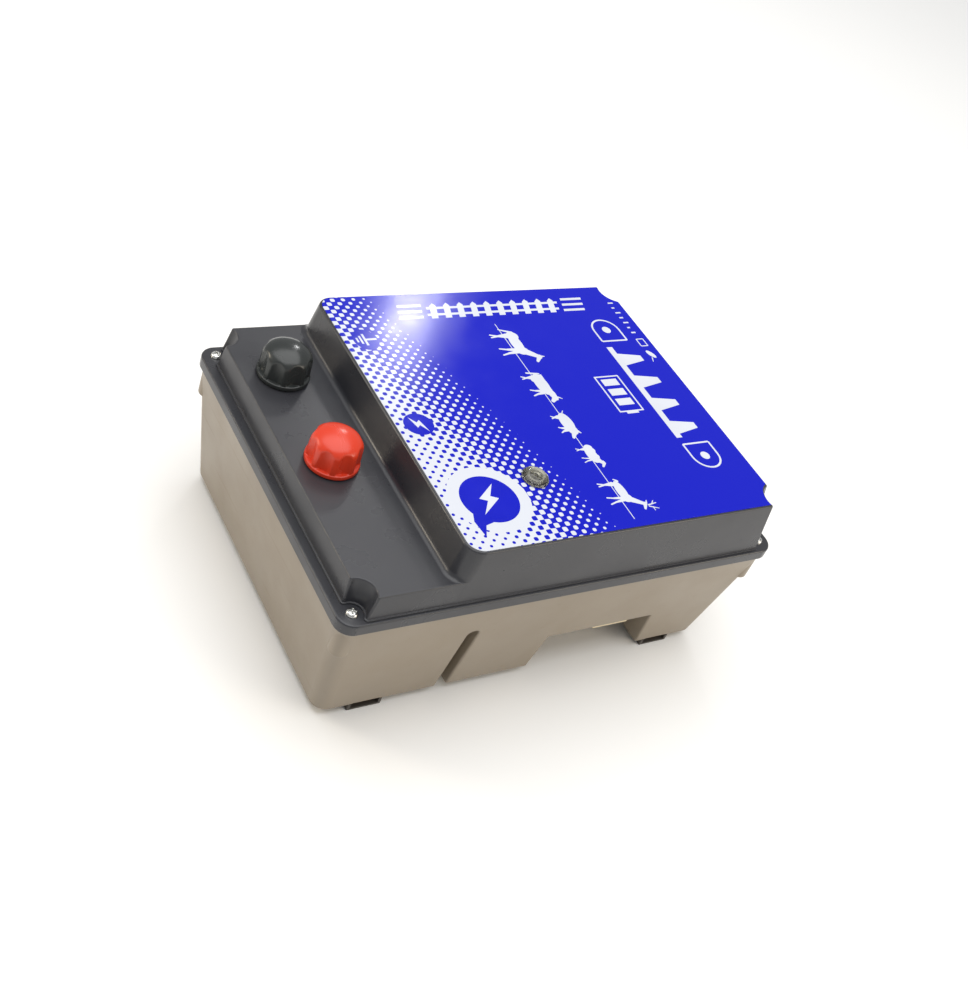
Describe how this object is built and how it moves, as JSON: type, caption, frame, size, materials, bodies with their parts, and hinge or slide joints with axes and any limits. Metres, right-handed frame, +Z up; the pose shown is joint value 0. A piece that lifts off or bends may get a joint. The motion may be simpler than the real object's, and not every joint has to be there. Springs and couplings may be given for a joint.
{
  "type": "fence energizer",
  "caption": "Electric fence energizer in a tapered plastic case with a stepped lid, printed label, indicator lens and red and black screw-down clamp terminals.",
  "frame": {"origin": "centre of the case in plan, on the plane its four strap loops rest on", "axes": "+X along the length of the case towards the raised label end, -Y towards the side with the cable notch and slot, +Z up"},
  "size_m": [0.3, 0.221, 0.1354],
  "materials": {
    "tub_plastic": "moulded plastic, fine satin texture, warm grey",
    "lid_plastic": "moulded plastic, fine satin texture, anthracite grey",
    "rubber": "matt",
    "zinc": "bright zinc plated steel",
    "label_print": "glossy printed film, royal blue with white dots",
    "clear_plastic": "clear polished plastic",
    "red_plastic": "glossy moulded plastic",
    "black_plastic": "satin moulded plastic",
    "white_plastic": "moulded plastic",
    "cream_plastic": "moulded plastic, cream",
    "circuit_board": "solder mask green",
    "iron": "varnished laminations and ferrite",
    "copper": "enamelled copper wire",
    "aluminium": "plain aluminium",
    "brass": "brass",
    "ceramic": "coated ceramic"
  },
  "bodies": {
    "case": {"base_tub": "tub_plastic", "strap_loops": "tub_plastic", "lid_cover": "lid_plastic", "lid_gasket": "rubber", "lid_screws": "zinc", "label_panel": "label_print", "indicator_lens": "clear_plastic", "indicator_led": "red_plastic", "indicator_board": "circuit_board", "indicator_board_screws": "zinc", "main_circuit_board": "circuit_board", "board_screws": "zinc", "transformer_core": "iron", "transformer_bobbin": "white_plastic", "transformer_coil": "copper", "transformer_tag_block": "white_plastic", "red_high_voltage_lead": "red_plastic", "black_high_voltage_lead": "black_plastic", "storage_capacitors": "aluminium", "filter_capacitors": "aluminium", "heat_sink": "aluminium", "discharge_thyristor": "black_plastic", "inductor_core": "iron", "inductor_winding": "copper", "converter_transformer": "iron", "rectifier_bridge": "black_plastic", "control_chip": "black_plastic", "power_resistors": "ceramic", "fuse_tube": "clear_plastic", "fuse_clips": "brass", "surge_arrester": "ceramic", "supply_socket": "cream_plastic", "supply_pins": "brass", "red_contact_plate": "zinc", "red_terminal_stud": "zinc", "red_terminal_bush": "white_plastic", "red_ring_lug": "brass", "red_stud_nut": "zinc", "black_contact_plate": "zinc", "black_terminal_stud": "zinc", "black_terminal_bush": "white_plastic", "black_ring_lug": "brass", "black_stud_nut": "zinc"},
    "red_washer": {"red_clamp_washer": "zinc"},
    "red_knob": {"red_knob": "red_plastic", "red_knob_insert": "brass"},
    "black_washer": {"black_clamp_washer": "zinc"},
    "black_knob": {"black_knob": "black_plastic", "black_knob_insert": "brass"}
  },
  "joints": [
    {"name": "red_washer_lift", "type": "slide", "parent": "case", "child": "red_washer", "axis": [0, 0, 1], "range_m": [0, 0.0051]},
    {"name": "red_knob_turn", "type": "hinge", "parent": "red_washer", "child": "red_knob", "pos_m": [-0.1176, -0.0099, 0.1115], "axis": [0, 0, 1], "range_deg": [0, 1440]},
    {"name": "black_washer_lift", "type": "slide", "parent": "case", "child": "black_washer", "axis": [0, 0, 1], "range_m": [0, 0.0051]},
    {"name": "black_knob_turn", "type": "hinge", "parent": "black_washer", "child": "black_knob", "pos_m": [-0.1176, 0.0631, 0.1115], "axis": [0, 0, 1], "range_deg": [0, 1440]}
  ],
  "couplings": [
    {"joint": "red_washer_lift", "follows": "red_knob_turn", "m_per_rad": 0.00019894},
    {"joint": "black_washer_lift", "follows": "black_knob_turn", "m_per_rad": 0.00019894}
  ]
}
